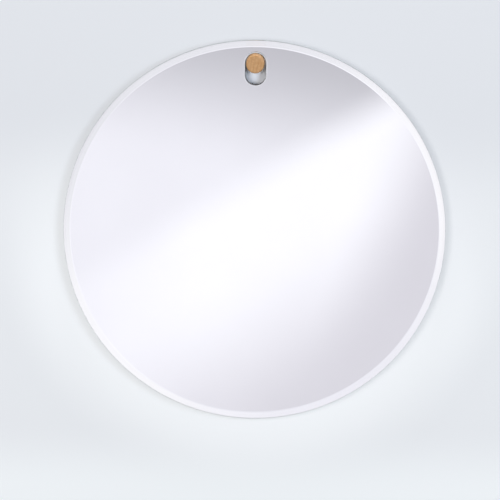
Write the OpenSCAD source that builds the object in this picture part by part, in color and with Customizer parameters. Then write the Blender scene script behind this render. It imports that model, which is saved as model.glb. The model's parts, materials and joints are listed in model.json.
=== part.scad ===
// Round bevelled mirror that hangs by an oblong slot on a round wooden wall peg.
// The plan of the wall is X to the right, Y up and Z out into the room. on_wall() stands
// that plan upright, so the finished part has Z up and its mirror faces -Y.
// The origin is where the peg's axis meets the wall.

/* [Mirror] */
// Diameter of the mirror
mirror_d = 400; // [250:1:600]
// Thickness of the glass
glass_t = 4; // [3:0.5:8]
// Width of the polished bevel round the rim
bevel_w = 7; // [4:0.5:20]
// Fall of the bevel from the face to the rim
bevel_drop = 1.6; // [0.8:0.1:2.4]
// Seamed arris on the rim's two edges
rim_arris = 0.5; // [0.2:0.1:0.7]

/* [Hanging slot] */
// Glass left between the slot and the rim
slot_rim = 13.1; // [10:0.1:40]
// Room at each side of the peg in the board's slot
slot_play = 1.5; // [0.5:0.05:3]
// Travel of the mirror when it is lifted on the peg
slot_lift = 14; // [8:0.5:40]
// Room left where the peg meets an end of the slot
hang_gap = 0.3; // [0.1:0.05:0.5]
// How far the glass stands back from the board round the slot
slot_lip = 0.1; // [0:0.1:1.5]
// Polished chamfer round the slot's front edge
slot_arris = 1; // [0.3:0.1:1.5]

/* [Back] */
// Thickness of the silvered coating
silver_t = 0.15; // [0.1:0.05:0.3]
// Thickness of the safety film
film_t = 0.25; // [0.1:0.05:0.5]
// Film left short of the rim and of the slot
film_inset = 2; // [1:0.5:6]
// Thickness of the bonding tape
tape_t = 1.2; // [0.8:0.1:3]
// Width of a strip of tape
tape_w = 25; // [12:1:30]
// Spacing of the strips of tape
tape_pitch = 80; // [64:1:96]
// Tape left short of the board's edge
tape_inset = 20; // [10:1:35]
// Thickness of the backing board
board_t = 8; // [6:0.5:16]
// How far the board stands in from the rim
board_inset = 6; // [4:0.5:9]
// Chamfer round the board's back edge
board_chamfer = 3; // [1:0.5:5]

/* [Wall bumpers] */
// Diameter of a bumper where it sticks to the board
bumper_d = 14; // [8:1:20]
// How much a bumper narrows towards the wall, at each side
bumper_taper = 2; // [0.5:0.25:3]
// Height of a bumper, which is the air gap behind the board
bumper_t = 4; // [2:0.5:8]
// Number of bumpers
bumper_count = 4; // [3:1:8]
// Distance of a bumper's middle from the board's edge
bumper_inset = 25; // [15:1:40]

/* [Peg] */
// Diameter of the peg
peg_d = 19; // [16:0.5:26]
// How far the peg stands out in front of the glass
peg_proud = 20; // [6:0.5:30]
// Rounding of the peg's front edge
peg_round = 0.8; // [0.3:0.1:3]
// Chamfer on the peg's wall end
peg_foot = 0.6; // [0.2:0.1:2]

/* [Wall fixing] */
// Thread diameter of the hanger bolt
bolt_d = 6; // [4:0.5:7]
// Length of the bolt inside the peg
bolt_grip = 14; // [8:1:20]
// Length of the bolt inside the wall
bolt_wall = 36; // [24:1:60]
// Length of the bolt's gimlet point
bolt_point = 8; // [4:1:12]
// Depth of the plain neck between the bolt's two threads
bolt_neck = 0.4; // [0.2:0.1:0.8]
// Length of that neck
bolt_neck_l = 4; // [2:0.5:6]
// Chamfer on the bolt's machine end
bolt_chamfer = 0.8; // [0.3:0.1:1]
// Width across the flats of the bolt's hexagon socket
socket_af = 2.5; // [1.5:0.1:3]
// Depth of the hexagon socket
socket_depth = 4; // [2:0.5:6]
// Length of the threaded insert in the peg
insert_l = 15; // [8:1:20]
// Wall of the threaded insert
insert_wall = 2; // [1:0.1:2.5]
// Width of the screwdriver slot across the insert
driver_w = 1.6; // [1:0.1:2.5]
// Depth of the screwdriver slot
driver_depth = 2; // [1:0.5:3]
// Running room between a thread and what it turns in
thread_gap = 0.05; // [0.02:0.01:0.1]
// Drilled room past the bolt's end in the peg
bore_room = 2; // [1:0.5:4]
// Length of the wall plug
plug_l = 40; // [30:1:70]
// Wall of the wall plug
plug_wall = 0.95; // [0.8:0.05:2]
// Length of the plug's tapered tip
plug_tip = 4; // [2:0.5:8]
// How much the tip narrows at each side
plug_taper = 0.5; // [0.2:0.1:0.7]
// Width of the slits that let the plug spread
plug_slit = 0.8; // [0.5:0.1:1.2]
// Length of the unsplit collar at the wall's face
plug_collar = 9; // [4:1:16]

/* [Hidden] */
$fn = 96;
// How far a cutter runs past the face that it cuts
cut_over = 0.5;
// Blunt end left on the bolt's point
point_r = 0.4;
// Turn of the plug's first slit from level
slit_turn = 45;

// Radii
glass_r = mirror_d / 2;
back_r = glass_r - rim_arris;
board_r = glass_r - board_inset;
peg_r = peg_d / 2;
bolt_r = bolt_d / 2;
thread_bore_r = bolt_r + thread_gap;
insert_r = thread_bore_r + insert_wall;
plug_r = thread_bore_r + plug_wall;
board_slot_r = peg_r + slot_play;
glass_slot_r = board_slot_r + slot_lip;

// Heights on the wall, from the peg's axis
slot_top_y = hang_gap - slot_play;
slot_run = slot_lift + 2 * slot_top_y;
slot_bottom_y = slot_top_y - slot_run;
mirror_y = slot_top_y + glass_slot_r + slot_rim - glass_r;

// Distances out from the wall
tape_z = bumper_t + board_t;
film_z = tape_z + tape_t;
silver_z = film_z + film_t;
glass_z = silver_z + silver_t;
peg_l = glass_z + glass_t + peg_proud;
peg_bore_l = max(insert_l, bolt_grip) + bore_room;

// Strips of tape that fit on each side of the board's middle
tape_reach = board_r - tape_inset;
tape_pairs = floor((tape_reach - tape_w / 2) / tape_pitch + 0.5);

// Stands the plan of the wall upright
module on_wall() {
    rotate([90, 0, 0]) children();
}

// Moves what is drawn round the mirror's middle to its place below the peg
module at_mirror(z) {
    translate([0, mirror_y, z]) children();
}

// Plan of the oblong slot with ends of radius r
module slot_outline(r) {
    translate([0, slot_top_y]) circle(r);
    translate([0, slot_bottom_y]) circle(r);
    translate([-r, slot_bottom_y]) square([2 * r, slot_run]);
}

// Cutter for a slot through everything from the wall to z
module slot_cutter(r, z) {
    translate([0, 0, -cut_over]) linear_extrude(z + 2 * cut_over) slot_outline(r);
}

// Cutter that opens the slot's front edge at 45 degrees, from slot_arris below the face
module slot_chamfer_cutter() {
    h = slot_arris + cut_over;
    for (y = [slot_top_y, slot_bottom_y])
        translate([0, y, 0]) cylinder(h = h, r1 = glass_slot_r, r2 = glass_slot_r + h);
    translate([0, slot_top_y, 0]) rotate([90, 0, 0]) linear_extrude(slot_run) polygon([
        [-glass_slot_r, 0], [glass_slot_r, 0], [glass_slot_r + h, h], [-glass_slot_r - h, h]
    ]);
}

// Half section of the glass: flat back, seamed rim, bevel and flat face
module glass_profile() {
    nose_t = glass_t - bevel_drop;
    polygon([
        [0, 0],
        [glass_r - rim_arris, 0],
        [glass_r, rim_arris],
        [glass_r, nose_t - rim_arris],
        [glass_r - rim_arris, nose_t + rim_arris * bevel_drop / bevel_w],
        [glass_r - bevel_w, glass_t],
        [0, glass_t]
    ]);
}

// Half section of the board, with its back edge chamfered towards the wall
module board_profile() {
    polygon([
        [0, 0],
        [board_r - board_chamfer, 0],
        [board_r, board_chamfer],
        [board_r, board_t],
        [0, board_t]
    ]);
}

// Half section of the peg: chamfered foot on the wall and a rounded front edge
module peg_profile() {
    shoulder = peg_l - peg_round;
    polygon([[0, 0], [peg_r - peg_foot, 0], [peg_r, peg_foot], [peg_r, shoulder], [0, shoulder]]);
    square([peg_r - peg_round, peg_l]);
    translate([peg_r - peg_round, shoulder]) circle(peg_round);
}

// Half section of the bolt: gimlet point, plain neck at the wall's face, machine end
module bolt_profile() {
    neck_r = bolt_r - bolt_neck;
    polygon([
        [0, -bolt_wall],
        [point_r, -bolt_wall],
        [bolt_r, bolt_point - bolt_wall],
        [bolt_r, -bolt_neck_l],
        [neck_r, -bolt_neck_l + bolt_neck],
        [neck_r, -bolt_neck],
        [bolt_r, 0],
        [bolt_r, bolt_grip - bolt_chamfer],
        [bolt_r - bolt_chamfer, bolt_grip],
        [0, bolt_grip]
    ]);
}

// Half section of the wall plug before it is bored and split
module plug_profile() {
    polygon([
        [0, -plug_l],
        [plug_r - plug_taper, -plug_l],
        [plug_r, plug_tip - plug_l],
        [plug_r, 0],
        [0, 0]
    ]);
}

// Clear float glass, bevelled round the rim, with the polished slot
module mirror_glass() {
    color("#e3e4ec") on_wall() difference() {
        at_mirror(glass_z) rotate_extrude() glass_profile();
        slot_cutter(glass_slot_r, glass_z + glass_t);
        translate([0, 0, glass_z + glass_t - slot_arris]) slot_chamfer_cutter();
    }
}

// Silver and its lacquer on the back of the glass
module silver_layer() {
    color("#d8d9de") on_wall() difference() {
        at_mirror(silver_z) cylinder(h = silver_t, r = back_r);
        slot_cutter(glass_slot_r, silver_z + silver_t);
    }
}

// Film that holds the pieces together if the glass breaks
module safety_film() {
    color("#9fa6ad") on_wall() difference() {
        at_mirror(film_z) cylinder(h = film_t, r = back_r - film_inset);
        slot_cutter(glass_slot_r + film_inset, film_z + film_t);
    }
}

// Upright strips of foam tape, each as long as the board's outline leaves
module bonding_tape() {
    color("#f0f0ec") on_wall() at_mirror(tape_z)
        for (side = [-1, 1], i = [0 : tape_pairs - 1]) {
            x = (i + 0.5) * tape_pitch;
            half_l = sqrt(pow(tape_reach, 2) - pow(x + tape_w / 2, 2));
            translate([side * x - tape_w / 2, -half_l, 0]) cube([tape_w, 2 * half_l, tape_t]);
        }
}

// Grey board that stiffens the glass and carries it on the peg
module backing_board() {
    color("#8a8a8f") on_wall() difference() {
        at_mirror(bumper_t) rotate_extrude() board_profile();
        slot_cutter(board_slot_r, tape_z);
    }
}

// Soft bumpers between the board and the wall
module wall_bumpers() {
    color("#c9ccd0") on_wall() at_mirror(0)
        for (i = [0 : bumper_count - 1])
            rotate(360 * (i + 0.5) / bumper_count) translate([board_r - bumper_inset, 0, 0])
                cylinder(h = bumper_t, r1 = bumper_d / 2 - bumper_taper, r2 = bumper_d / 2);
}

// Turned oak peg, bored from the wall end for its insert
module hanging_peg() {
    color("#c49b6f") on_wall() difference() {
        rotate_extrude() peg_profile();
        translate([0, 0, -cut_over]) cylinder(h = insert_l + cut_over, r = insert_r);
        cylinder(h = peg_bore_l, r = thread_bore_r);
    }
}

// Brass insert that gives the peg its thread
module peg_insert() {
    color("#c8a452") on_wall() difference() {
        cylinder(h = insert_l, r = insert_r);
        translate([0, 0, -cut_over]) cylinder(h = insert_l + 2 * cut_over, r = thread_bore_r);
        translate([-insert_r - cut_over, -driver_w / 2, -cut_over])
            cube([2 * (insert_r + cut_over), driver_w, driver_depth + cut_over]);
    }
}

// Hanger bolt: wood thread into the plug, machine thread into the peg
module hanger_bolt() {
    color("#b4b7bb") on_wall() difference() {
        rotate_extrude() bolt_profile();
        translate([0, 0, bolt_grip - socket_depth])
            cylinder(h = socket_depth + cut_over, r = socket_af / sqrt(3), $fn = 6);
    }
}

// Nylon plug in the drilled wall, slit so that the bolt spreads it
module wall_plug() {
    color("#a9adb3") on_wall() difference() {
        rotate_extrude() plug_profile();
        translate([0, 0, -plug_l - cut_over]) cylinder(h = plug_l + 2 * cut_over, r = thread_bore_r);
        for (turn = [0, 90])
            rotate(slit_turn + turn) translate([-plug_r - cut_over, -plug_slit / 2, -plug_l - cut_over])
                cube([2 * (plug_r + cut_over), plug_slit, plug_l - plug_collar + cut_over]);
    }
}

mirror_glass();
silver_layer();
safety_film();
bonding_tape();
backing_board();
wall_bumpers();
hanging_peg();
peg_insert();
hanger_bolt();
wall_plug();
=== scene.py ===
# Round bevelled mirror that hangs by an oblong slot on an oak wall peg.
# The wall is the plane y = 0, the room lies towards -Y, and the peg's axis meets the wall at the origin.
import json

import bpy
import numpy as np
from mathutils import Matrix, Vector


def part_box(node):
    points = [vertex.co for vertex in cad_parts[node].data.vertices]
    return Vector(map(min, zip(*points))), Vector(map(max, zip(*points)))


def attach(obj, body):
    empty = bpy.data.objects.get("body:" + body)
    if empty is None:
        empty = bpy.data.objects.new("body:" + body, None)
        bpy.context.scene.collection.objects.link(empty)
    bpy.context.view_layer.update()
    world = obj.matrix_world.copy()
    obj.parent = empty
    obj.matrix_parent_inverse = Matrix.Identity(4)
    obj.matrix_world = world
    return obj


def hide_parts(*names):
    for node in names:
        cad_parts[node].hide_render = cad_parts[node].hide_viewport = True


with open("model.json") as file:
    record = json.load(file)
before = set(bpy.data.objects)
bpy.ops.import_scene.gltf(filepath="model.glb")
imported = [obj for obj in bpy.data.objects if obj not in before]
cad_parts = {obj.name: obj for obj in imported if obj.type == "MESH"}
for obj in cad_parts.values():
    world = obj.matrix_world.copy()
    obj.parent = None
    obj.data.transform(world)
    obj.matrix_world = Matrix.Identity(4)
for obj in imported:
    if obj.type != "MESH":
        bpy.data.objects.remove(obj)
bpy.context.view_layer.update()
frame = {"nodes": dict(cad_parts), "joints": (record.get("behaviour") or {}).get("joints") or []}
scene = bpy.context.scene
scene.view_settings.view_transform = "Standard"
mm = 0.001
print("frame loaded:", len(frame["nodes"]), "nodes")


def linearColour(hexText):
    # sRGB to linear, channel by channel: ((c + 0.055) / 1.055) to the power 2.4, or c / 12.92 where dark
    srgb = np.array([int(hexText[i:i + 2], 16) for i in (1, 3, 5)]) / 255
    linear = np.where(srgb > 0.04045, ((srgb + 0.055) / 1.055) ** 2.4, srgb / 12.92)
    return (*linear.tolist(), 1.0)


def addNode(tree, kind, sockets={}, stops=(), **settings):
    # settings are the node's own properties, a socket takes a value or another node's output,
    # and stops are a ramp's (position, hex colour) pairs
    node = tree.nodes.new("ShaderNode" + kind)
    for name, value in settings.items():
        setattr(node, name, value)
    for name, value in sockets.items():
        if isinstance(value, bpy.types.NodeSocket):
            tree.links.new(value, node.inputs[name])
        else:
            node.inputs[name].default_value = value
    for i, (position, hexText) in enumerate(stops):
        ramp = node.color_ramp.elements
        stop = ramp[i] if i < 2 else ramp.new(position)
        stop.position = position
        stop.color = linearColour(hexText)
    return node


def newMaterial(name):
    # an empty node tree and the piece's own coordinates in metres
    material = bpy.data.materials.new(name)
    material.use_nodes = True
    tree = material.node_tree
    tree.nodes.clear()
    return material, tree, addNode(tree, "TexCoord").outputs["Object"]


def perMetre(sizeMm):
    # a texture's scale: how many features of this size fit in a metre
    return 1 / (sizeMm * mm)


def inMetres(shape):
    # those of a piece's sizes that are in millimetres, times 0.001
    return {name: size * mm for name, size in shape.items() if name.endswith("Mm")}


def halfWidth(low, high):
    # the radius of a round node, from the corners of its box
    return (high.x - low.x) / 2


# Materials
glassBody = {"tintHex": "#7CD8BC", "tintDensity": 4.0, "ior": 1.52}


def glassOutput(tree, surface):
    # the surface over a body that takes a little more red than green from the light in it
    tint = addNode(tree, "VolumeAbsorption", {
        "Color": linearColour(glassBody["tintHex"]), "Density": glassBody["tintDensity"]})
    addNode(tree, "OutputMaterial", {"Surface": surface.outputs[0], "Volume": tint.outputs[0]})


def floatGlass():
    # Clear float glass with a polished face, bevel and slot. Sharp colourless reflections from the face,
    # and a faint green that gathers only where the eye looks along the sheet.
    material, tree = newMaterial("polished_float_glass")[:2]
    glassOutput(tree, addNode(tree, "BsdfPrincipled", {
        "Base Color": linearColour("#FFFFFF"), "Roughness": 0.0, "IOR": glassBody["ior"],
        "Transmission Weight": 1.0}))
    return material


def groundEdge():
    # The rim of the sheet, seamed on a belt: a dull frosted green-grey. Its grit is drawn 0.4 mm wide so
    # that it shows.
    material, tree, place = newMaterial("seamed_glass_edge")
    grit = addNode(tree, "TexNoise", {
        "Vector": place, "Scale": perMetre(0.4), "Detail": 5.0, "Roughness": 0.7})
    tone = addNode(tree, "ValToRGB", {"Fac": grit.outputs["Fac"]}, [(0.3, "#6B7F78"), (0.7, "#90A29B")])
    rough = addNode(tree, "MapRange", {"Value": grit.outputs["Fac"], "To Min": 0.35, "To Max": 0.6})
    bump = addNode(tree, "Bump", {"Height": grit.outputs["Fac"], "Strength": 0.3, "Distance": 0.05 * mm})
    glassOutput(tree, addNode(tree, "BsdfPrincipled", {
        "Base Color": tone.outputs["Color"], "Roughness": rough.outputs[0], "IOR": glassBody["ior"],
        "Transmission Weight": 0.25, "Normal": bump.outputs[0]}))
    return material


def silvering():
    # Chemically deposited silver seen through the glass: a neutral mirror with no grain, only a cloud of
    # a level or two where the bath lay thicker.
    material, tree, place = newMaterial("silver_coating")
    bath = addNode(tree, "TexNoise", {"Vector": place, "Scale": perMetre(90), "Detail": 2.0})
    tone = addNode(tree, "ValToRGB", {"Fac": bath.outputs["Fac"]}, [(0.3, "#FAFAFA"), (0.7, "#FCFCFC")])
    silver = addNode(tree, "BsdfPrincipled", {
        "Base Color": tone.outputs["Color"], "Metallic": 1.0, "Roughness": 0.0})
    addNode(tree, "OutputMaterial", {"Surface": silver.outputs[0]})
    return material


def backLacquer():
    # Grey curtain-coated lacquer over the silver: low sheen with a soft orange peel.
    material, tree, place = newMaterial("grey_mirror_lacquer")
    peel = addNode(tree, "TexNoise", {"Vector": place, "Scale": perMetre(1.6), "Detail": 3.0})
    tone = addNode(tree, "ValToRGB", {"Fac": peel.outputs["Fac"]},
                   [(0.3, "#7E848B"), (0.7, "#8E949A")])
    bump = addNode(tree, "Bump", {"Height": peel.outputs["Fac"], "Strength": 0.15, "Distance": 0.1 * mm})
    paint = addNode(tree, "BsdfPrincipled", {
        "Base Color": tone.outputs["Color"], "Roughness": 0.42, "Normal": bump.outputs[0]})
    addNode(tree, "OutputMaterial", {"Surface": paint.outputs[0]})
    return material


def scrimFilm():
    # Polyester safety film over a woven scrim: a low even sheen with crossed threads showing through.
    threadMm = 0.9
    material, tree, place = newMaterial("grey_scrim_film")
    scale = 0.1 * np.pi * perMetre(threadMm)   # a wave texture has one band in each 0.1 pi of its space
    warp = addNode(tree, "TexWave", {"Vector": place, "Scale": scale}, bands_direction="X")
    weft = addNode(tree, "TexWave", {"Vector": place, "Scale": scale}, bands_direction="Z")
    weave = addNode(tree, "Math", {0: warp.outputs["Fac"], 1: weft.outputs["Fac"]}, operation="MAXIMUM")
    tone = addNode(tree, "ValToRGB", {"Fac": weave.outputs[0]}, [(0.3, "#8B9299"), (0.9, "#A9AFB5")])
    rough = addNode(tree, "MapRange", {"Value": weave.outputs[0], "To Min": 0.5, "To Max": 0.34})
    bump = addNode(tree, "Bump", {"Height": weave.outputs[0], "Strength": 0.3, "Distance": 0.05 * mm})
    film = addNode(tree, "BsdfPrincipled", {
        "Base Color": tone.outputs["Color"], "Roughness": rough.outputs[0], "Normal": bump.outputs[0]})
    addNode(tree, "OutputMaterial", {"Surface": film.outputs[0]})
    return material


def fibreboard(name, woolHex, fibreHex, depthMm):
    # Dyed medium-density fibreboard: a fine dull wool with pale hair-thin fibres lying every way. Pressed
    # faces are close, sawn edges are open. Fibres are drawn 0.1 mm wide so that they show.
    material, tree, place = newMaterial(name)
    wool = addNode(tree, "TexNoise", {
        "Vector": place, "Scale": perMetre(0.8), "Detail": 4.0, "Roughness": 0.65})
    swirl = addNode(tree, "TexNoise", {
        "Vector": place, "Scale": perMetre(2.6), "Detail": 2.0, "Distortion": 2.5})
    ridge = addNode(tree, "Math", {0: swirl.outputs["Fac"], 1: 0.5, 2: 0.02}, operation="COMPARE")
    cloud = addNode(tree, "TexNoise", {"Vector": place, "Scale": perMetre(60), "Detail": 3.0})
    deep = addNode(tree, "Math", {0: cloud.outputs["Fac"], 1: 0.5, 2: wool.outputs["Fac"]},
                   operation="MULTIPLY_ADD")
    ground = addNode(tree, "ValToRGB", {"Fac": deep.outputs[0]}, [(0.55, woolHex[0]), (0.95, woolHex[1])])
    hair = addNode(tree, "Math", {0: ridge.outputs[0], 1: wool.outputs["Fac"]}, operation="MULTIPLY")
    tone = addNode(tree, "Mix", {
        "Factor": hair.outputs[0], "A": ground.outputs["Color"], "B": linearColour(fibreHex)},
        data_type="RGBA")
    rough = addNode(tree, "MapRange", {"Value": wool.outputs["Fac"], "To Min": 0.7, "To Max": 0.9})
    height = addNode(tree, "Math", {0: hair.outputs[0], 1: wool.outputs["Fac"]}, operation="ADD")
    bump = addNode(tree, "Bump", {"Height": height.outputs[0], "Strength": 0.4, "Distance": depthMm * mm})
    board = addNode(tree, "BsdfPrincipled", {
        "Base Color": tone.outputs["Result"], "Roughness": rough.outputs[0], "Normal": bump.outputs[0]})
    addNode(tree, "OutputMaterial", {"Surface": board.outputs[0]})
    return material


def silicone():
    # Cast clear silicone: a soft milky body that lets some light through, under a dull skin with dust in it.
    material, tree, place = newMaterial("cast_clear_silicone")
    dust = addNode(tree, "TexNoise", {"Vector": place, "Scale": perMetre(0.9), "Detail": 4.0})
    tone = addNode(tree, "ValToRGB", {"Fac": dust.outputs["Fac"]}, [(0.35, "#DDE1E4"), (0.75, "#C4C8CB")])
    rough = addNode(tree, "MapRange", {"Value": dust.outputs["Fac"], "To Min": 0.22, "To Max": 0.42})
    body = addNode(tree, "BsdfPrincipled", {
        "Base Color": tone.outputs["Color"], "Roughness": rough.outputs[0], "IOR": 1.41,
        "Transmission Weight": 0.45})
    addNode(tree, "OutputMaterial", {"Surface": body.outputs[0]})
    return material


oakFigure = {
    "ringMm": 3.3,                   # a year's growth
    "heartMm": (-58.0, 0.0, 9.0),    # the trunk's middle lies off to one side
    "driftMm": 7.0,                  # the rings wander over this length
    "wanderMm": (4.0, 8.0, 4.0),     # by this much
    "patchMm": 2.5,
    "drawnOut": 0.06,                # patches and pores are long along the axis
    "poreMm": 0.3,
}


def oak():
    # Turned oak, oiled. Growth rings run as near-upright bands over the end grain, small open pores dot
    # the early wood, and the side shows the same figure drawn out along the axis.
    f = oakFigure
    material, tree, place = newMaterial("oiled_oak_end_grain")
    drift = addNode(tree, "TexNoise", {"Vector": place, "Scale": perMetre(f["driftMm"]), "Detail": 3.0})
    bent = addNode(tree, "VectorMath", {
        0: drift.outputs["Color"], 1: tuple(x * mm for x in f["wanderMm"]), 2: place},
        operation="MULTIPLY_ADD")
    fromHeart = addNode(tree, "VectorMath", {0: bent.outputs[0], 1: tuple(-x * mm for x in f["heartMm"])},
                        operation="ADD")
    flat = addNode(tree, "VectorMath", {0: fromHeart.outputs[0], 1: (1.0, 0.0, 1.0)}, operation="MULTIPLY")
    radius = addNode(tree, "VectorMath", {0: flat.outputs[0]}, operation="LENGTH")
    years = addNode(tree, "Math", {0: radius.outputs["Value"], 1: perMetre(f["ringMm"])},
                    operation="MULTIPLY")
    ring = addNode(tree, "Math", {0: years.outputs[0]}, operation="FRACT")
    ringTone = addNode(tree, "ValToRGB", {"Fac": ring.outputs[0]},
                       [(0.0, "#B68D63"), (1.0, "#BA9065"), (0.3, "#C29A70"), (0.8, "#C59E73")])
    drawn = addNode(tree, "Mapping", {"Vector": place, "Scale": (1.0, f["drawnOut"], 1.0)})
    cloud = addNode(tree, "TexNoise", {
        "Vector": drawn.outputs[0], "Scale": perMetre(f["patchMm"]), "Detail": 4.0})
    patch = addNode(tree, "MapRange", {"Value": cloud.outputs["Fac"], "From Min": 0.4, "From Max": 0.7,
                                       "To Max": 0.75})
    mottled = addNode(tree, "Mix", {
        "Factor": patch.outputs[0], "A": ringTone.outputs["Color"], "B": linearColour("#B0804F")},
        data_type="RGBA")
    pore = addNode(tree, "TexVoronoi", {"Vector": drawn.outputs[0], "Scale": perMetre(3 * f["poreMm"])})
    early = addNode(tree, "MapRange", {"Value": ring.outputs[0], "From Min": 0.5, "From Max": 0.1,
                                       "To Max": 0.7})
    dot = addNode(tree, "MapRange", {
        "Value": pore.outputs["Distance"], "From Min": 0.3, "From Max": 0.16})
    openPore = addNode(tree, "Math", {0: early.outputs[0], 1: dot.outputs[0]}, operation="MULTIPLY")
    pored = addNode(tree, "Mix", {
        "Factor": openPore.outputs[0], "A": mottled.outputs["Result"], "B": linearColour("#8A6238")},
        data_type="RGBA")
    bump = addNode(tree, "Bump", {
        "Height": openPore.outputs[0], "Strength": 0.35, "Distance": 0.15 * mm}, invert=True)
    rough = addNode(tree, "MapRange", {"Value": ring.outputs[0], "To Min": 0.62, "To Max": 0.5})
    wood = addNode(tree, "BsdfPrincipled", {
        "Base Color": pored.outputs["Result"], "Roughness": rough.outputs[0], "Normal": bump.outputs[0],
        "Specular IOR Level": 0.35})
    addNode(tree, "OutputMaterial", {"Surface": wood.outputs[0]})
    return material


def plainFinish(name, hexes, grainMm, roughness, depthMm, metallic=0.0, stretch=(1, 1, 1)):
    # A fine grain between two near tones, with the same grain in the bump.
    material, tree, place = newMaterial(name)
    drawn = addNode(tree, "Mapping", {"Vector": place, "Scale": stretch})
    grain = addNode(tree, "TexNoise", {
        "Vector": drawn.outputs[0], "Scale": perMetre(grainMm), "Detail": 4.0})
    tone = addNode(tree, "ValToRGB", {"Fac": grain.outputs["Fac"]}, [(0.3, hexes[0]), (0.7, hexes[1])])
    rough = addNode(tree, "MapRange", {
        "Value": grain.outputs["Fac"], "To Min": roughness - 0.08, "To Max": roughness + 0.08})
    bump = addNode(tree, "Bump", {"Height": grain.outputs["Fac"], "Strength": 0.3, "Distance": depthMm * mm})
    finish = addNode(tree, "BsdfPrincipled", {
        "Base Color": tone.outputs["Color"], "Roughness": rough.outputs[0], "Metallic": metallic,
        "Normal": bump.outputs[0]})
    addNode(tree, "OutputMaterial", {"Surface": finish.outputs[0]})
    return material


# Surfaces

def roundCorners(corners, radii, steps=5):
    # a polyline's corner becomes an arc tangent to both sides: it starts r / tan(half the angle) before
    # the corner, its centre is r / sin(half the angle) along the line that halves the angle, and a point
    # r / 5 outside each end keeps the straight sides flat
    corners = np.asarray(corners, float)
    pieces = [corners[:1]]
    for before, corner, after, r in zip(corners, corners[1:], corners[2:], radii):
        if r == 0:
            pieces.append(corner[None])
            continue
        a = (before - corner) / np.linalg.norm(before - corner)
        b = (after - corner) / np.linalg.norm(after - corner)
        half = np.arccos(np.clip(a @ b, -1, 1)) / 2
        centre = corner + (a + b) / np.linalg.norm(a + b) * r / np.sin(half)
        start = corner + a * r / np.tan(half) - centre
        end = corner + b * r / np.tan(half) - centre
        sweep = np.pi - 2 * half
        shoulder = r / 5
        t = np.linspace(0, sweep, steps)[:, None]
        arc = centre + (start * np.sin(sweep - t) + end * np.sin(t)) / np.sin(sweep)
        pieces += [arc[:1] + a * shoulder, arc, arc[-1:] + b * shoulder]
    return np.concatenate(pieces + [corners[-1:]])


def revolve(profile, turns, middle=(0.0, 0.0)):
    # (radius, y) carried round an axis along Y: x = r cos(a), z = r sin(a)
    a = np.linspace(0, 2 * np.pi, turns, endpoint=False)
    r, y = np.asarray(profile, float).T[:, :, None]
    x, z = middle[0] + r * np.cos(a), middle[1] + r * np.sin(a)
    return np.stack([x, y + 0 * a, z], axis=-1)


def skin(rows, closed=False):
    # quads between neighbouring rows of a grid whose columns go all the way round; a closed grid joins
    # its last row to its first, an open one gets a fan to the middle of each end row
    n, m = rows.shape[:2]
    points = rows.reshape(-1, 3)
    r = np.arange(n if closed else n - 1)[:, None]
    c = np.arange(m)[None]
    up, on = (r + 1) % n, (c + 1) % m
    quads = np.stack([r * m + c, r * m + on, up * m + on, up * m + c], axis=-1).reshape(-1, 4)
    fans = np.zeros((0, 3), int)
    rowOfFace = np.repeat(r.ravel(), m)
    if not closed:
        points = np.concatenate([points, rows[0].mean(0)[None], rows[-1].mean(0)[None]])
        first = np.arange(m)
        last = first + (n - 1) * m
        fans = np.concatenate([np.stack([np.roll(first, -1), first, 0 * first + n * m], axis=-1),
                               np.stack([last, np.roll(last, -1), 0 * last + n * m + 1], axis=-1)])
        rowOfFace = np.concatenate([rowOfFace, np.zeros(m, int), np.full(m, n - 2)])
    return points, quads, fans, rowOfFace, m


allRings = range(1000)   # more than any skin has


def makePiece(name, skins, materials, secondRows=(), sharpRows=()):
    # one mesh from one or more closed skins; a skin whose signed volume, a sixth of the sum of
    # p . (q x s) over its triangles, is negative is turned outwards. The faces of secondRows take the
    # second material, and the rings of sharpRows stay crisp
    points, faces, slots, sharp, count = [], [], [], [], 0
    for skinPoints, quads, fans, rowOfFace, m in skins:
        tris = np.concatenate([quads[:, :3], quads[:, [0, 2, 3]], fans])
        p, q, s = (skinPoints[tris[:, i]] for i in range(3))
        turn = -1 if np.einsum("ij,ij->", p, np.cross(q, s)) < 0 else 1
        points.append(skinPoints)
        faces += (quads[:, ::turn] + count).tolist() + (fans[:, ::turn] + count).tolist()
        slots.append(np.isin(rowOfFace, secondRows))
        row = np.arange(len(skinPoints)) // m
        sharp.append(np.where(np.isin(row, sharpRows), row + count, -1))
        count += len(skinPoints)
    mesh = bpy.data.meshes.new(name)
    mesh.from_pydata(np.concatenate(points), [], faces)
    mesh.polygons.foreach_set("material_index", np.concatenate(slots).astype(np.int32))
    mesh.polygons.foreach_set("use_smooth", np.ones(len(faces), bool))
    ends = np.zeros(len(mesh.edges) * 2, np.int32)
    mesh.edges.foreach_get("vertices", ends)
    ring = np.concatenate(sharp)[ends.reshape(-1, 2)]
    mesh.edges.foreach_set("use_edge_sharp", (ring[:, 0] == ring[:, 1]) & (ring[:, 0] >= 0))
    for material in materials:
        mesh.materials.append(material)
    mesh.update()
    mesh.validate()
    piece = bpy.data.objects.new(name, mesh)
    scene.collection.objects.link(piece)
    return piece


def settle(piece, body, node):
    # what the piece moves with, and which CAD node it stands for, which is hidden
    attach(piece, body)
    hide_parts(node)


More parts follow.
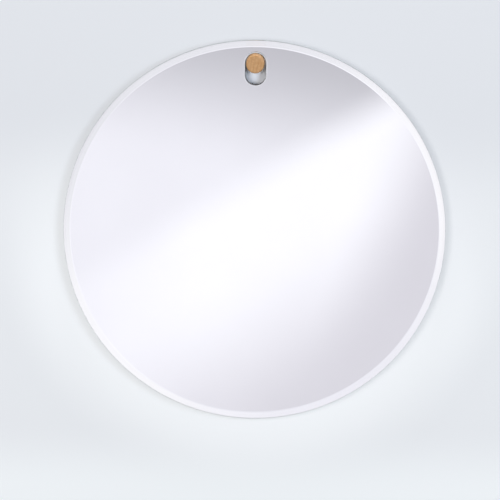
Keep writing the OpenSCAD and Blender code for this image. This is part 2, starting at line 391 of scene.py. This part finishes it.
# The slot that every layer of the mirror shares, from the peg and the travel of its joint
slotFit = {
    "playMm": 1.5,       # room at each side of the peg in the board
    "lipMm": 0.1,        # the glass stands back this far from the board
    "hangGapMm": 0.3,    # room above the peg
    "arcSteps": 180,
    "sideSteps": 10,
}
pegLow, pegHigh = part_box("hanging_peg")
glassLow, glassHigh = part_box("mirror_glass")
pegRadius = halfWidth(pegLow, pegHigh)
liftTravel = next(j for j in frame["joints"] if j["name"] == "mirror_lift")["range_m"][1]
boardSlotR = pegRadius + slotFit["playMm"] * mm
glassSlotR = boardSlotR + slotFit["lipMm"] * mm
slotTopZ = (slotFit["hangGapMm"] - slotFit["playMm"]) * mm
slotBottomZ = -liftTravel - slotTopZ
glassRadius = halfWidth(glassLow, glassHigh)
mirrorMiddle = np.array([0.0, (glassHigh.z + glassLow.z) / 2])


def slotPlan(arcSteps, sideSteps):
    # once round the slot: its upper arc, left side, lower arc and right side, each point as the place on
    # the slot's centre line and the direction straight out from it
    half = np.linspace(0, np.pi, arcSteps, endpoint=False)
    angle = np.concatenate([half, np.full(sideSteps, np.pi), half + np.pi, np.full(sideSteps, 2 * np.pi)])
    down = np.linspace(slotTopZ, slotBottomZ, sideSteps, endpoint=False)
    upward = np.linspace(slotBottomZ, slotTopZ, sideSteps, endpoint=False)
    z = np.concatenate([np.full(arcSteps, slotTopZ), down, np.full(arcSteps, slotBottomZ), upward])
    return np.stack([0 * z, z], axis=-1), np.stack([np.cos(angle), np.sin(angle)], axis=-1)


slotLine, slotOut = slotPlan(slotFit["arcSteps"], slotFit["sideSteps"])
runOn = 5 * mm   # an edge profile runs on this far to give its corners a side, and drops the end points


def slottedDisc(slotProfile, rimProfile):
    # a slot station (r, y) is the slot's outline grown to radius r; a rim station (r, y) is where the
    # outline's normals meet the circle of radius r about the mirror's middle. Together they go once
    # round the section, so the disc and its slot are one closed skin
    away = slotLine - mirrorMiddle
    along = np.einsum("ij,ij->i", away, slotOut)
    gap = np.einsum("ij,ij->i", away, away)
    slotR, slotY = np.asarray(slotProfile, float).T[:, :, None]
    rimR, rimY = np.asarray(rimProfile, float).T[:, :, None]
    reach = np.concatenate([slotR + 0 * along, np.sqrt(along ** 2 - gap + rimR ** 2) - along])
    x, z = np.moveaxis(slotLine + reach[..., None] * slotOut, -1, 0)
    return np.stack([x, np.concatenate([slotY, rimY]) + 0 * x, z], axis=-1)


# Glass
glassShape = {
    "bevelMm": 7.0,         # width of the polished bevel
    "bevelDropMm": 1.6,     # its fall from the face to the rim
    "rimRoundMm": 0.35,     # seamed edges of the rim
    "slotChamferMm": 1.0,   # polished chamfer round the slot's front
    "slotRoundMm": 0.15,
}
glassSize = inMetres(glassShape)
face, back = glassLow.y, glassHigh.y
rim = roundCorners(
    [(glassRadius - glassSize["bevelMm"], face), (glassRadius, face + glassSize["bevelDropMm"]),
     (glassRadius, back), (glassRadius - runOn, back)], [glassSize["rimRoundMm"]] * 2)[:-1]
slotSide = roundCorners(
    [(glassSlotR + runOn, back), (glassSlotR, back), (glassSlotR, face + glassSize["slotChamferMm"]),
     (glassSlotR + glassSize["slotChamferMm"], face), (glassSlotR + runOn, face)],
    [glassSize["slotRoundMm"]] * 3)[1:-1]
glassRows = slottedDisc(slotSide, rim)
slotRows = len(slotSide)
nearRim = 2 * glassRadius - glassSize["rimRoundMm"] / 2
rimRows = slotRows + np.flatnonzero(rim[:-1, 0] + rim[1:, 0] > nearRim)
glass = makePiece("bevelled_glass", [skin(glassRows, closed=True)], [floatGlass(), groundEdge()],
                  rimRows, (0, slotRows - 1, slotRows, len(glassRows) - 1))
settle(glass, "mirror", "mirror_glass")
print("glass:", len(glass.data.polygons), "faces")

# Silver, film and board
layerShape = {
    "silverBiteMm": 0.03,    # the silver lies this far inside the glass, so it is what the glass shows
    "silverEdgeMm": 0.25,    # bare edge left at the rim and the slot
    "filmInsetMm": 2.0,
    "boardChamferMm": 3.0,   # towards the wall
    "boardRoundMm": 0.4,
}
layerSize = inMetres(layerShape)
silverLow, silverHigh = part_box("silver_layer")
filmLow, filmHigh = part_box("safety_film")
boardLow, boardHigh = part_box("backing_board")


def plainLayer(slotR, rimR, front, rear):
    # a flat sheet with square edges: the slot's wall, the front, the rim's wall and the back
    return slottedDisc([(slotR, rear), (slotR, front)], [(rimR, front), (rimR, rear)])


silverRim = halfWidth(silverLow, silverHigh)
silverRows = plainLayer(glassSlotR + layerSize["silverEdgeMm"], silverRim - layerSize["silverEdgeMm"],
                        silverLow.y - layerSize["silverBiteMm"], silverHigh.y)
silver = makePiece("silver_backing", [skin(silverRows, closed=True)], [silvering(), backLacquer()],
                   (0, 2, 3), allRings)   # all but its front is lacquered
settle(silver, "mirror", "silver_layer")

filmRim = halfWidth(filmLow, filmHigh)
filmRows = plainLayer(glassSlotR + layerSize["filmInsetMm"], filmRim, filmLow.y, filmHigh.y)
film = makePiece("safety_sheet", [skin(filmRows, closed=True)], [scrimFilm()], (), allRings)
settle(film, "mirror", "safety_film")

boardRim = halfWidth(boardLow, boardHigh)
boardEdge = roundCorners(
    [(boardRim - runOn, boardLow.y), (boardRim, boardLow.y),
     (boardRim, boardHigh.y - layerSize["boardChamferMm"]),
     (boardRim - layerSize["boardChamferMm"], boardHigh.y), (boardRim - runOn, boardHigh.y)],
    [layerSize["boardRoundMm"]] * 3)[1:-1]
boardSlot = roundCorners(
    [(boardSlotR + runOn, boardHigh.y), (boardSlotR, boardHigh.y), (boardSlotR, boardLow.y),
     (boardSlotR + runOn, boardLow.y)], [layerSize["boardRoundMm"]] * 2)[1:-1]
boardRows = slottedDisc(boardSlot, boardEdge)
sawnRows = np.delete(np.arange(len(boardRows) - 1), len(boardSlot) - 1)   # all but its two faces
board = makePiece("fibre_board", [skin(boardRows, closed=True)],
                  [fibreboard("pressed_fibreboard", ("#828388", "#909196"), "#A6A7AB", 0.08),
                   fibreboard("sawn_fibreboard", ("#8C8B8F", "#9F9EA1"), "#AFAEB1", 0.25)],
                  sawnRows, (0, len(boardSlot) - 1, len(boardSlot), len(boardRows) - 1))
settle(board, "mirror", "backing_board")
print("layers behind the glass: silver, film and board")

# Bumpers
bumperShape = {
    "count": 4,
    "rimMm": 7.0, "flatMm": 2.6,   # radius on the board and at the wall
    "insetMm": 25.0,               # from the board's rim to a bumper's middle
    "crown": (0.7, 0.8),           # powers below 1 fill out the shoulder
    "turns": 48, "rows": 14,
}
bumperLow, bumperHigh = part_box("wall_bumpers")


def bumperDome(i):
    # a quarter of a rounded square from the board's side to a small flat against the wall:
    # r = flat + (rim - flat) * cos(t) ** crown[0], y = rise * sin(t) ** crown[1]
    t = np.linspace(0, np.pi / 2, bumperShape["rows"])
    flat, wide = bumperShape["flatMm"] * mm, bumperShape["rimMm"] * mm
    r = flat + (wide - flat) * np.cos(t).clip(0) ** bumperShape["crown"][0]
    y = bumperLow.y + (bumperHigh.y - bumperLow.y) * np.sin(t) ** bumperShape["crown"][1]
    angle = 2 * np.pi * (i + 0.5) / bumperShape["count"]
    reach = boardRim - bumperShape["insetMm"] * mm
    middle = mirrorMiddle + reach * np.array([np.cos(angle), np.sin(angle)])
    return skin(revolve(np.stack([r, y], axis=-1), bumperShape["turns"], middle))


bumpers = makePiece("wall_bumper_domes", [bumperDome(i) for i in range(bumperShape["count"])],
                    [silicone()])
settle(bumpers, "mirror", "wall_bumpers")

# Peg
pegShape = {
    "roundMm": 1.3,                                # sanded edge of the free end
    "footMm": 0.6, "footRoundMm": 0.1,             # chamfer against the wall
    "insertBoreMm": 5.05, "insertDepthMm": 15.0,   # seat of the threaded insert
    "threadBoreMm": 3.05, "boreDepthMm": 17.0,     # and room for the bolt beyond it
    "poleMm": 0.3,                                 # the fan that closes each end starts here
    "turns": 96, "arcSteps": 7,
}
pegSize = inMetres(pegShape)
pegProfile = roundCorners(
    [(pegSize["poleMm"], -pegSize["boreDepthMm"]), (pegSize["threadBoreMm"], -pegSize["boreDepthMm"]),
     (pegSize["threadBoreMm"], -pegSize["insertDepthMm"]),
     (pegSize["insertBoreMm"], -pegSize["insertDepthMm"]), (pegSize["insertBoreMm"], pegHigh.y),
     (pegRadius - pegSize["footMm"], pegHigh.y), (pegRadius, pegHigh.y - pegSize["footMm"]),
     (pegRadius, pegLow.y), (pegSize["poleMm"], pegLow.y)],
    [0, 0, 0, 0, pegSize["footRoundMm"], pegSize["footRoundMm"], pegSize["roundMm"]], pegShape["arcSteps"])
boreRings = range(1, 5)
peg = makePiece("oak_peg", [skin(revolve(pegProfile, pegShape["turns"]))], [oak()], (), boreRings)
settle(peg, "peg", "hanging_peg")
print("peg and bumpers made")

# Hanger bolt
boltShape = {
    "machinePitchMm": 1.0, "machineDepthMm": 0.55,
    "woodPitchMm": 2.4, "woodDepthMm": 0.75, "woodCrest": 0.2,   # share of a pitch on each side of a crest
    "neckMm": (0.0, 4.0), "neckFallMm": 0.4,                     # plain length between the threads
    "pointMm": 8.0, "pointRadiusMm": 0.4, "chamferMm": 0.8,
    "socketMm": 2.5, "socketDepthMm": 4.0,                       # hexagon socket in the machine end
    "stepsPerPitch": 10, "turns": 60,
}
boltLow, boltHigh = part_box("hanger_bolt")


def threadedBolt():
    # r(y, a) = envelope(y) - depth * (1 - crest(w)), where w = y / pitch - a / one turn is the place across
    # a thread: a machine crest is a triangle over the whole pitch and a wood crest a narrow one. The
    # envelope is the bolt's outline without threads, and it scales the thread down on the gimlet point.
    b = boltShape
    outer = halfWidth(boltLow, boltHigh) / mm
    start, end = boltLow.y / mm, boltHigh.y / mm
    a = np.linspace(0, 2 * np.pi, b["turns"], endpoint=False)
    y = np.arange(start, end, b["machinePitchMm"] / b["stepsPerPitch"])[:, None]
    inNeck = (y > b["neckMm"][0]) & (y < b["neckMm"][1])
    envelope = np.interp(y, [start, start + b["chamferMm"], end - b["pointMm"], end],
                         [outer - b["chamferMm"], outer, outer, b["pointRadiusMm"]])
    machine = np.abs(2 * ((y / b["machinePitchMm"] - a / (2 * np.pi)) % 1) - 1)
    offCrest = np.abs((y / b["woodPitchMm"] - a / (2 * np.pi)) % 1 - 0.5)
    wood = (1 - offCrest / b["woodCrest"]).clip(0)
    fall = np.where(y < b["neckMm"][0], b["machineDepthMm"] * (1 - machine), b["woodDepthMm"] * (1 - wood))
    r = (envelope - np.where(inNeck, b["neckFallMm"], fall) * envelope / outer)[..., None]
    ring = np.stack([np.cos(a), 0 * a, np.sin(a)], axis=-1)
    rows = r * ring + y[..., None] * [0, 1, 0]
    hexagon = b["socketMm"] / 2 / np.cos((a + np.pi / 6) % (np.pi / 3) - np.pi / 6)
    socket = [hexagon[:, None] * ring + [0, depth, 0] for depth in (start + b["socketDepthMm"], start)]
    tip = (rows[-1:] + [0, end, 0]) / 2   # half-way from the last ring to the point
    return skin(np.concatenate([socket, rows, tip]) * mm)


bolt = makePiece("threaded_hanger_bolt", [threadedBolt()], [
    plainFinish("zinc_plated_steel", ("#A9ADB3", "#C6C9CE"), 0.6, 0.32, 0.01, 1.0)], (), (0, 1, 2))
settle(bolt, "wall_fixing", "hanger_bolt")

# Wall plug
plugShape = {
    "boreMm": 3.08, "tipMm": 4.0, "tipFallMm": 0.5,
    "collarMm": 9.0, "overlapMm": 0.3,       # the legs grow out of the collar
    "lipMm": 1.0, "lipFallMm": 0.4,          # plain lip at the collar's front, and its run down to the ribs
    "slitMm": 0.8, "slitTurnDeg": 45.0,      # four legs stand between two crossed slits
    "toothMm": 2.5, "toothFallMm": 0.45,     # saw teeth that hold in the drilled wall
    "ribFallMm": 0.25, "ribs": 12,           # lengthways ribs on the collar
    "ribSteps": 12, "arcSteps": 16, "rowsPerTooth": 6,
}
plugLow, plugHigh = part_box("wall_plug")
plugRadius = halfWidth(plugLow, plugHigh)


def plugCollar():
    # a tube whose outside is r = R - fall * (1 + cos(ribs * a)) / 2, so the ribs stand at full size
    s = plugShape
    a = np.linspace(0, 2 * np.pi, s["ribSteps"] * s["ribs"], endpoint=False)
    ribbed = plugRadius - s["ribFallMm"] * mm * (1 + np.cos(s["ribs"] * a)) / 2
    plain, bore = 0 * a + plugRadius, 0 * a + s["boreMm"] * mm
    front, rear = plugLow.y, plugLow.y + s["collarMm"] * mm
    lip = front + s["lipMm"] * mm
    stations = [(plain, front), (plain, lip), (ribbed, lip + s["lipFallMm"] * mm), (ribbed, rear),
                (bore, rear), (bore, front)]
    rows = [np.stack([r * np.cos(a), 0 * a + y, r * np.sin(a)], axis=-1) for r, y in stations]
    return skin(np.array(rows), closed=True)


def plugLeg(quarter):
    # a quarter of the tube between two slits, carried from the collar to the tip. Its outside is a saw:
    # r = R - fall * (place across the tooth), and it draws in over the tapered tip
    s = plugShape
    start, end = plugLow.y / mm + s["collarMm"] - s["overlapMm"], plugHigh.y / mm
    outer = plugRadius / mm
    y = np.linspace(start, end, int((end - start) / s["toothMm"] * s["rowsPerTooth"]))[:, None]
    saw = s["toothFallMm"] * ((y - start) / s["toothMm"] % 1)
    tip = s["tipFallMm"] * ((y - end + s["tipMm"]) / s["tipMm"]).clip(0)
    rOut = np.minimum(outer - saw, outer - tip)
    across = np.linspace(-1, 1, s["arcSteps"])
    eighthTurn = np.pi / 4
    middle = np.radians(s["slitTurnDeg"]) + (2 * quarter + 1) * eighthTurn
    loop = []
    for r, way in ((rOut, across), (s["boreMm"] + 0 * y, across[::-1])):
        a = middle + way * (eighthTurn - np.arcsin(s["slitMm"] / 2 / r))
        loop.append(np.stack([r * np.cos(a), y + 0 * a, r * np.sin(a)], axis=-1))
    return skin(np.concatenate(loop, axis=1) * mm)


plug = makePiece("barbed_wall_plug", [plugCollar()] + [plugLeg(quarter) for quarter in range(4)],
                 [plainFinish("moulded_grey_nylon", ("#9FA3A9", "#B3B7BC"), 1.8, 0.5, 0.03)],
                 (), allRings)
settle(plug, "wall_fixing", "wall_plug")
print("bolt and plug:", len(bolt.data.polygons) + len(plug.data.polygons), "faces")

# CAD pieces that keep their shape
keptFinishes = {
    "bonding_tape": plainFinish("closed_cell_foam_tape", ("#E6E6E1", "#F4F4F0"), 0.6, 0.8, 0.15),
    "peg_insert": plainFinish("turned_brass", ("#B8934A", "#D2AE62"), 0.8, 0.3, 0.02, 1.0, (0.2, 1, 0.2)),
}
for node, finish in keptFinishes.items():
    frame["nodes"][node].data.materials.clear()
    frame["nodes"][node].data.materials.append(finish)

# Camera at the photograph's angle
photoView = {
    "elevationDeg": 8.9,
    "azimuthDeg": 1.2,              # a little to the right of the mirror's axis
    "rollDeg": 0.46,
    "distance": 3.0,
    "sensorMm": 36.0,
    "framePx": 500,
    "mirrorPx": 382.8,              # width of the mirror in the frame
    "middlePx": (254.2, 231.6),     # where the mirror's middle lies in the frame
    "clipEnd": 50.0,
}
pxPerMetre = photoView["mirrorPx"] / (2 * glassRadius)
tilt, turn, roll = np.radians([photoView[k + "Deg"] for k in ("elevation", "azimuth", "roll")])
level = Vector((np.cos(turn), np.sin(turn), 0))
backward = Vector((np.sin(turn) * np.cos(tilt), -np.cos(turn) * np.cos(tilt), np.sin(tilt)))
upright = backward.cross(level)
rightward = level * np.cos(roll) + upright * np.sin(roll)
upward = upright * np.cos(roll) - level * np.sin(roll)
mirrorFront = Vector((0, face, mirrorMiddle[1]))
offRight, offDown = np.array(photoView["middlePx"]) - photoView["framePx"] / 2
aim = mirrorFront - rightward * offRight / pxPerMetre + upward * offDown / pxPerMetre
lens = bpy.data.cameras.new("photo_camera")
lens.sensor_width = photoView["sensorMm"]
lens.lens = photoView["sensorMm"] * pxPerMetre * photoView["distance"] / photoView["framePx"]
lens.clip_end = photoView["clipEnd"]
camera = bpy.data.objects.new("photo_camera", lens)
axes = Matrix((rightward, upward, backward)).transposed().to_4x4()
camera.matrix_world = Matrix.Translation(aim + backward * photoView["distance"]) @ axes
scene.collection.objects.link(camera)
scene.camera = camera

# Wall, floor and the pale card that the mirror reflects
stageShape = {
    "wallHalf": 3.0,
    "wallY": 0.3 * mm,    # a little behind the bumpers, so that no two faces lie in one plane
    "floorZ": -1.6,
    "cardY": -12.0, "cardHalf": 8.7,
}


def flatSheet(name, corners, material):
    # one four-sided face of the stage
    mesh = bpy.data.meshes.new(name)
    mesh.from_pydata(corners, [], [(0, 1, 2, 3)])
    mesh.materials.append(material)
    sheet = bpy.data.objects.new(name, mesh)
    scene.collection.objects.link(sheet)
    return sheet


def smoothFall(tree, vector, direction, middle, span):
    # distance along a direction in X and Z from a middle, as a smooth step from 0 to 1 over the span
    shift = addNode(tree, "VectorMath", {0: vector, 1: (-middle[0], 0.0, -middle[1])}, operation="ADD")
    reach = addNode(tree, "VectorMath", {
        0: shift.outputs[0], 1: (direction[0], 0.0, direction[1])}, operation="DOT_PRODUCT")
    return addNode(tree, "MapRange", {
        "Value": reach.outputs["Value"], "From Min": span[0], "From Max": span[1]},
        interpolation_type="SMOOTHSTEP").outputs[0]


def smoothRing(tree, vector, middle, span):
    # distance from a middle in X and Z, as a smooth step from 0 to 1 over the span
    shift = addNode(tree, "VectorMath", {0: vector, 1: (-middle[0], 0.0, -middle[1])}, operation="ADD")
    flat = addNode(tree, "VectorMath", {0: shift.outputs[0], 1: (1.0, 0.0, 1.0)}, operation="MULTIPLY")
    reach = addNode(tree, "VectorMath", {0: flat.outputs[0]}, operation="LENGTH")
    return addNode(tree, "MapRange", {
        "Value": reach.outputs["Value"], "From Min": span[0], "From Max": span[1]},
        interpolation_type="SMOOTHSTEP").outputs[0]


def blendTones(tree, tone, layers):
    # lays each (amount, colour) over what is below it
    for amount, colour in layers:
        colour = linearColour(colour) if isinstance(colour, str) else colour
        tone = linearColour(tone) if isinstance(tone, str) else tone
        tone = addNode(tree, "Mix", {"Factor": amount, "A": tone, "B": colour},
                       data_type="RGBA").outputs["Result"]
    return tone


wallTone = {
    "topHex": "#DADDE2", "lowHex": "#E2E5E9", "footHex": "#EBEFF2", "paintedPoolHex": "#F0F3F6",
    "lowZ": (0.05, 0.16),      # depths below the peg between which painted light makes the wall paler
    # painted light: paler below the mirror, where the mirror shades the wall from the top lamp
    "footZ": (0.385, 0.46),
    "paintedPoolR": (0.21, 0.288),    # a painted pool of light: a paler ring round the mirror's lower half
    "paintedPoolZ": (0.06, 0.3),
    "paintedPoolLean": -0.11,         # it reaches higher on the left
    "paintedRecessLightHex": "#E6EBF3",    # a paler paint that shows through the slot: painted light in that shaded recess
    "evenMiddle": (0.0, -0.012),
    "evenR": (0.024, 0.034),   # beyond it the wall is lit evenly from the room
    "even": 0.55,              # and this much of its tone is that light
    "evenStrength": 1.135,
}


def oneSided(tree, paint):
    # seen from its front only
    clear = addNode(tree, "BsdfTransparent")
    side = addNode(tree, "NewGeometry")
    both = addNode(tree, "MixShader", {0: side.outputs["Backfacing"], 1: paint, 2: clear.outputs[0]})
    addNode(tree, "OutputMaterial", {"Surface": both.outputs[0]})


def wallPaint():
    # Matt wall paint with painted light: a little paler towards the floor, and a painted pool of light round
    # the mirror's lower half.
    material, tree, place = newMaterial("pale_wall_paint")
    # painted light: the wall is painted paler towards the floor, most of all below the mirror
    low = smoothFall(tree, place, (0, -1), (0, 0), wallTone["lowZ"])
    foot = smoothFall(tree, place, (0, -1), (0, 0), wallTone["footZ"])
    # painted light: a pool of light painted on round the mirror's lower half
    fade = smoothRing(tree, place, mirrorMiddle, wallTone["paintedPoolR"])
    inside = addNode(tree, "Math", {0: 1.0, 1: fade}, operation="SUBTRACT")
    lowerHalf = smoothFall(tree, place, (wallTone["paintedPoolLean"], -1), (0, 0), wallTone["paintedPoolZ"])
    paintedPool = addNode(tree, "Math", {0: inside.outputs[0], 1: lowerHalf}, operation="MULTIPLY")
    tone = blendTones(tree, wallTone["topHex"], [
        (low, wallTone["lowHex"]), (foot, wallTone["footHex"]), (paintedPool.outputs[0], wallTone["paintedPoolHex"])])
    # painted light: round the peg, where the slot shows the wall, the paint is paler
    outside = smoothRing(tree, place, wallTone["evenMiddle"], wallTone["evenR"])
    paint = addNode(tree, "BsdfDiffuse", {
        "Color": blendTones(tree, wallTone["paintedRecessLightHex"], [(outside, tone)])})
    even = addNode(tree, "Emission", {"Color": tone, "Strength": wallTone["evenStrength"]})
    share = addNode(tree, "Math", {0: outside, 1: wallTone["even"]}, operation="MULTIPLY")
    lit = addNode(tree, "MixShader", {0: share.outputs[0], 1: paint.outputs[0], 2: even.outputs[0]})
    oneSided(tree, lit.outputs[0])
    return material


floorTone = {"hex": "#E6E9EE", "even": 0.8}


def floorPaint():
    # Matt pale floor, lit evenly for the most part.
    material, tree = newMaterial("pale_floor")[:2]
    tone = linearColour(floorTone["hex"])
    paint = addNode(tree, "BsdfDiffuse", {"Color": tone})
    even = addNode(tree, "Emission", {"Color": tone})
    lit = addNode(tree, "MixShader", {0: floorTone["even"], 1: paint.outputs[0], 2: even.outputs[0]})
    oneSided(tree, lit.outputs[0])
    return material


cardTone = {
    "baseHex": "#EAE8F1", "topHex": "#BBB9C1", "bandHex": "#F8F6FE", "lowHex": "#D4D1DA",
    "topMm": (50, 215),          # height on the mirror between which the tone falls
    "topLean": 0.2,              # and its lean to the right
    "bandDeg": 31, "bandMiddleMm": (17, 9),
    "bandUpperMm": (-76, -22), "bandLowerMm": (18, 200),
    "bandEndHex": "#EFEDF6", "bandEndMm": (40, 230), "bandEndLean": -0.3,   # its left end is dimmer
    "endMm": (85, 190), "endLean": -0.35,   # the right side falls to the low tone too
    "frameHex": "#F4F2F7", "frameLowHex": "#E1E0E7", "frameUpHex": "#E8E6EF",
    "frameMm": (196, 203),       # beyond this radius only the bevel sees the card
    "frameLowMm": (17, 354), "frameUpMm": (156, 415),
    "outerHex": "#CFCFD6", "outerMm": (630, 784),    # what the slot's chamfer sees
    "strength": 1.14,
}


def reflectorCard():
    # A soft diagonal light on a grey card with a pale frame. Its coordinates are turned into millimetres
    # on the mirror, as the camera sees them there, and each change of tone is a smooth step.
    c = cardTone
    material, tree, place = newMaterial("reflector_card")
    onMirror = addNode(tree, "Mapping", {"Vector": place, "Scale": (perMetre(cardGrowth),) * 3}).outputs[0]
    lean = np.radians(c["bandDeg"])
    across, counter = (np.sin(lean), -np.cos(lean)), (-np.sin(lean), np.cos(lean))
    middle = c["bandMiddleMm"]
    bandTone = blendTones(tree, c["bandHex"], [
        (smoothFall(tree, onMirror, (-1, c["bandEndLean"]), (0, 0), c["bandEndMm"]), c["bandEndHex"])])
    tone = blendTones(tree, c["baseHex"], [
        (smoothFall(tree, onMirror, (c["topLean"], 1), (0, 0), c["topMm"]), c["topHex"]),
        (smoothFall(tree, onMirror, across, middle, c["bandUpperMm"]), bandTone),
        (smoothFall(tree, onMirror, across, middle, c["bandLowerMm"]), c["lowHex"]),
        (smoothFall(tree, onMirror, (1, c["endLean"]), (0, 0), c["endMm"]), c["lowHex"])])
    frameTone = blendTones(tree, c["frameHex"], [
        (smoothFall(tree, onMirror, across, middle, c["frameLowMm"]), c["frameLowHex"]),
        (smoothFall(tree, onMirror, counter, middle, c["frameUpMm"]), c["frameUpHex"])])
    tone = blendTones(tree, tone, [
        (smoothRing(tree, onMirror, (0, 0), c["frameMm"]), frameTone),
        (smoothRing(tree, onMirror, (0, 0), c["outerMm"]), c["outerHex"])])
    glow = addNode(tree, "Emission", {"Color": tone, "Strength": c["strength"]})
    addNode(tree, "OutputMaterial", {"Surface": glow.outputs[0]})
    return material


wallHalf, wallY, floorZ = (stageShape[name] for name in ("wallHalf", "wallY", "floorZ"))
wall = flatSheet("wall", [(-wallHalf, wallY, floorZ), (wallHalf, wallY, floorZ),
                          (wallHalf, wallY, wallHalf), (-wallHalf, wallY, wallHalf)], wallPaint())
wall.visible_shadow = wall.visible_diffuse = False   # the rear lamp shines through it on to the back
board.visible_diffuse = False   # and that light is not thrown on to the wall's front
floorFront = -2 * wallHalf
floor = flatSheet("floor", [(-wallHalf, floorFront, floorZ), (wallHalf, floorFront, floorZ),
                            (wallHalf, wallHalf, floorZ), (-wallHalf, wallHalf, floorZ)], floorPaint())
floor.visible_diffuse = floor.visible_glossy = floor.visible_transmission = False
# The card stands where the camera sees it in the mirror
fromMirror = mirrorFront - camera.location
cardReach = (face - stageShape["cardY"]) / fromMirror.y
cardGrowth = 1 + cardReach
cardHalf = stageShape["cardHalf"]
card = flatSheet("reflector_card", [(-cardHalf, 0, -cardHalf), (cardHalf, 0, -cardHalf),
                                    (cardHalf, 0, cardHalf), (-cardHalf, 0, cardHalf)], reflectorCard())
card.location = (mirrorFront.x + fromMirror.x * cardReach, stageShape["cardY"],
                 mirrorFront.z + fromMirror.z * cardReach)
card.visible_camera = card.visible_diffuse = card.visible_shadow = False

# Light
lampShape = {
    "left": {"place": (-0.9, -2.88, 0.12), "size": 1.0, "watts": 46.0, "hex": "#FFFBF8"},
    "right": {"place": (1.345, -2.66, 0.26), "size": 1.0, "watts": 40.0, "hex": "#EDF5FF"},
    "top": {"place": (0.0, -0.2, 1.3), "size": 0.5, "watts": 18.0, "hex": "#FFFFFF"},
    "rear": {"place": (0.9, 2.9, -0.8), "size": 1.5, "watts": 85.0, "hex": "#FFFFFF"},
}
for name, lampSet in lampShape.items():
    lamp = bpy.data.lights.new(name + "_lamp", "AREA")
    lamp.size = lampSet["size"]
    lamp.energy = lampSet["watts"]
    lamp.color = linearColour(lampSet["hex"])[:3]
    holder = bpy.data.objects.new(name + "_lamp", lamp)
    holder.location = lampSet["place"]
    holder.rotation_euler = (mirrorFront - holder.location).to_track_quat("-Z", "Y").to_euler()
    holder.visible_camera = holder.visible_glossy = holder.visible_transmission = False
    scene.collection.objects.link(holder)

skyTone = {"diffuseHex": "#F8FBFF", "diffuse": 0.06, "shownHex": "#F1F2F8", "shown": 1.0}
world = bpy.data.worlds.new("soft_studio")
world.use_nodes = True
scene.world = world
sky = world.node_tree
sky.nodes.clear()
path = addNode(sky, "LightPath")
seen = addNode(sky, "Math", {0: path.outputs["Is Camera Ray"], 1: path.outputs["Is Glossy Ray"]},
               operation="MAXIMUM")
seen = addNode(sky, "Math", {0: seen.outputs[0], 1: path.outputs["Is Transmission Ray"]},
               operation="MAXIMUM")
soft = addNode(sky, "Background", {
    "Color": linearColour(skyTone["diffuseHex"]), "Strength": skyTone["diffuse"]})
shown = addNode(sky, "Background", {
    "Color": linearColour(skyTone["shownHex"]), "Strength": skyTone["shown"]})
both = addNode(sky, "MixShader", {0: seen.outputs[0], 1: soft.outputs[0], 2: shown.outputs[0]})
addNode(sky, "OutputWorld", {"Surface": both.outputs[0]})
print("camera, stage and light set")
